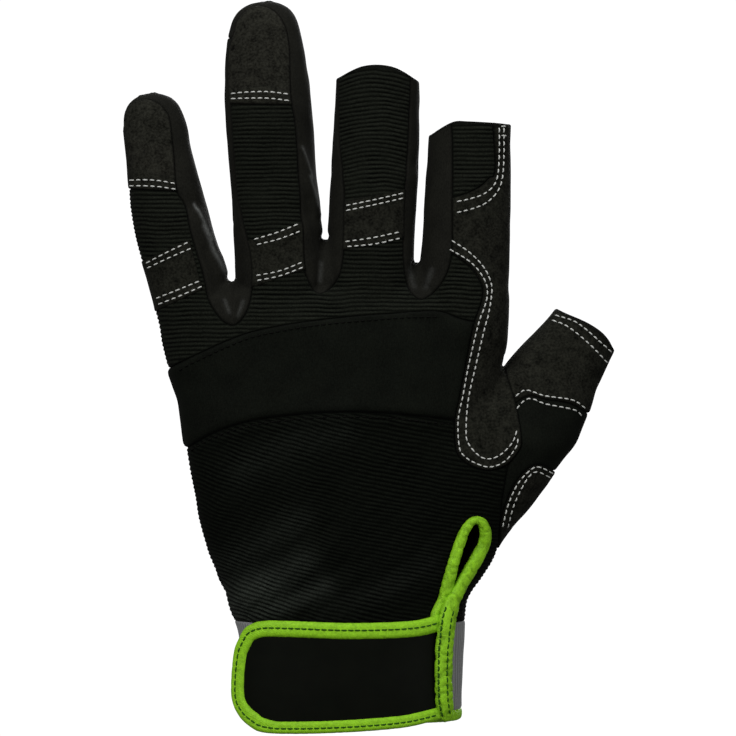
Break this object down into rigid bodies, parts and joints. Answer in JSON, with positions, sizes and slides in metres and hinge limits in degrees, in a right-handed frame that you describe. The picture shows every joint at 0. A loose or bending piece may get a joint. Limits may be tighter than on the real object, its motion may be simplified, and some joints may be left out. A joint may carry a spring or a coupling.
{
  "type": "mechanic glove",
  "caption": "Left-hand work glove with ribbed back, padded knuckle band, suede patches, three open fingertips and a wrist tab bound in lime green, in worn shape",
  "frame": {"origin": "middle of the wrist opening", "axes": "+Z along the hand to the fingertips, +X towards the thumb, -Y the back of the hand"},
  "size_m": [0.1563, 0.0513, 0.2322],
  "materials": {
    "ribbed": "ribbed black stretch cloth, matt",
    "smooth": "smooth black knit over foam, matt",
    "suede": "black synthetic suede, matt and grained",
    "grey": "grey elastic band",
    "lime": "lime-green binding tape, satin",
    "rubber": "black moulded tab, satin"
  },
  "bodies": {
    "root": {"back_lower": "ribbed", "back_upper": "ribbed", "index_back": "ribbed", "knuckle_band": "smooth", "fourchette_little_ring": "smooth", "fourchette_ring_middle": "smooth", "fourchette_middle_index": "smooth", "thumb_lower": "smooth", "palm": "suede", "little_palm": "suede", "ring_palm": "suede", "middle_palm": "suede", "index_palm": "suede", "thumb_palm": "suede", "index_saddle": "suede", "cap_little": "suede", "cap_ring": "suede", "patch_little": "suede", "patch_ring": "suede", "patch_middle": "suede", "thumb_upper": "suede", "thumb_base_patch": "suede", "cuff_band": "grey", "hem_binding": "lime", "slit_binding": "lime", "strap_binding": "lime", "strap": "rubber", "strap_fastener": "rubber"}
  },
  "joints": []
}
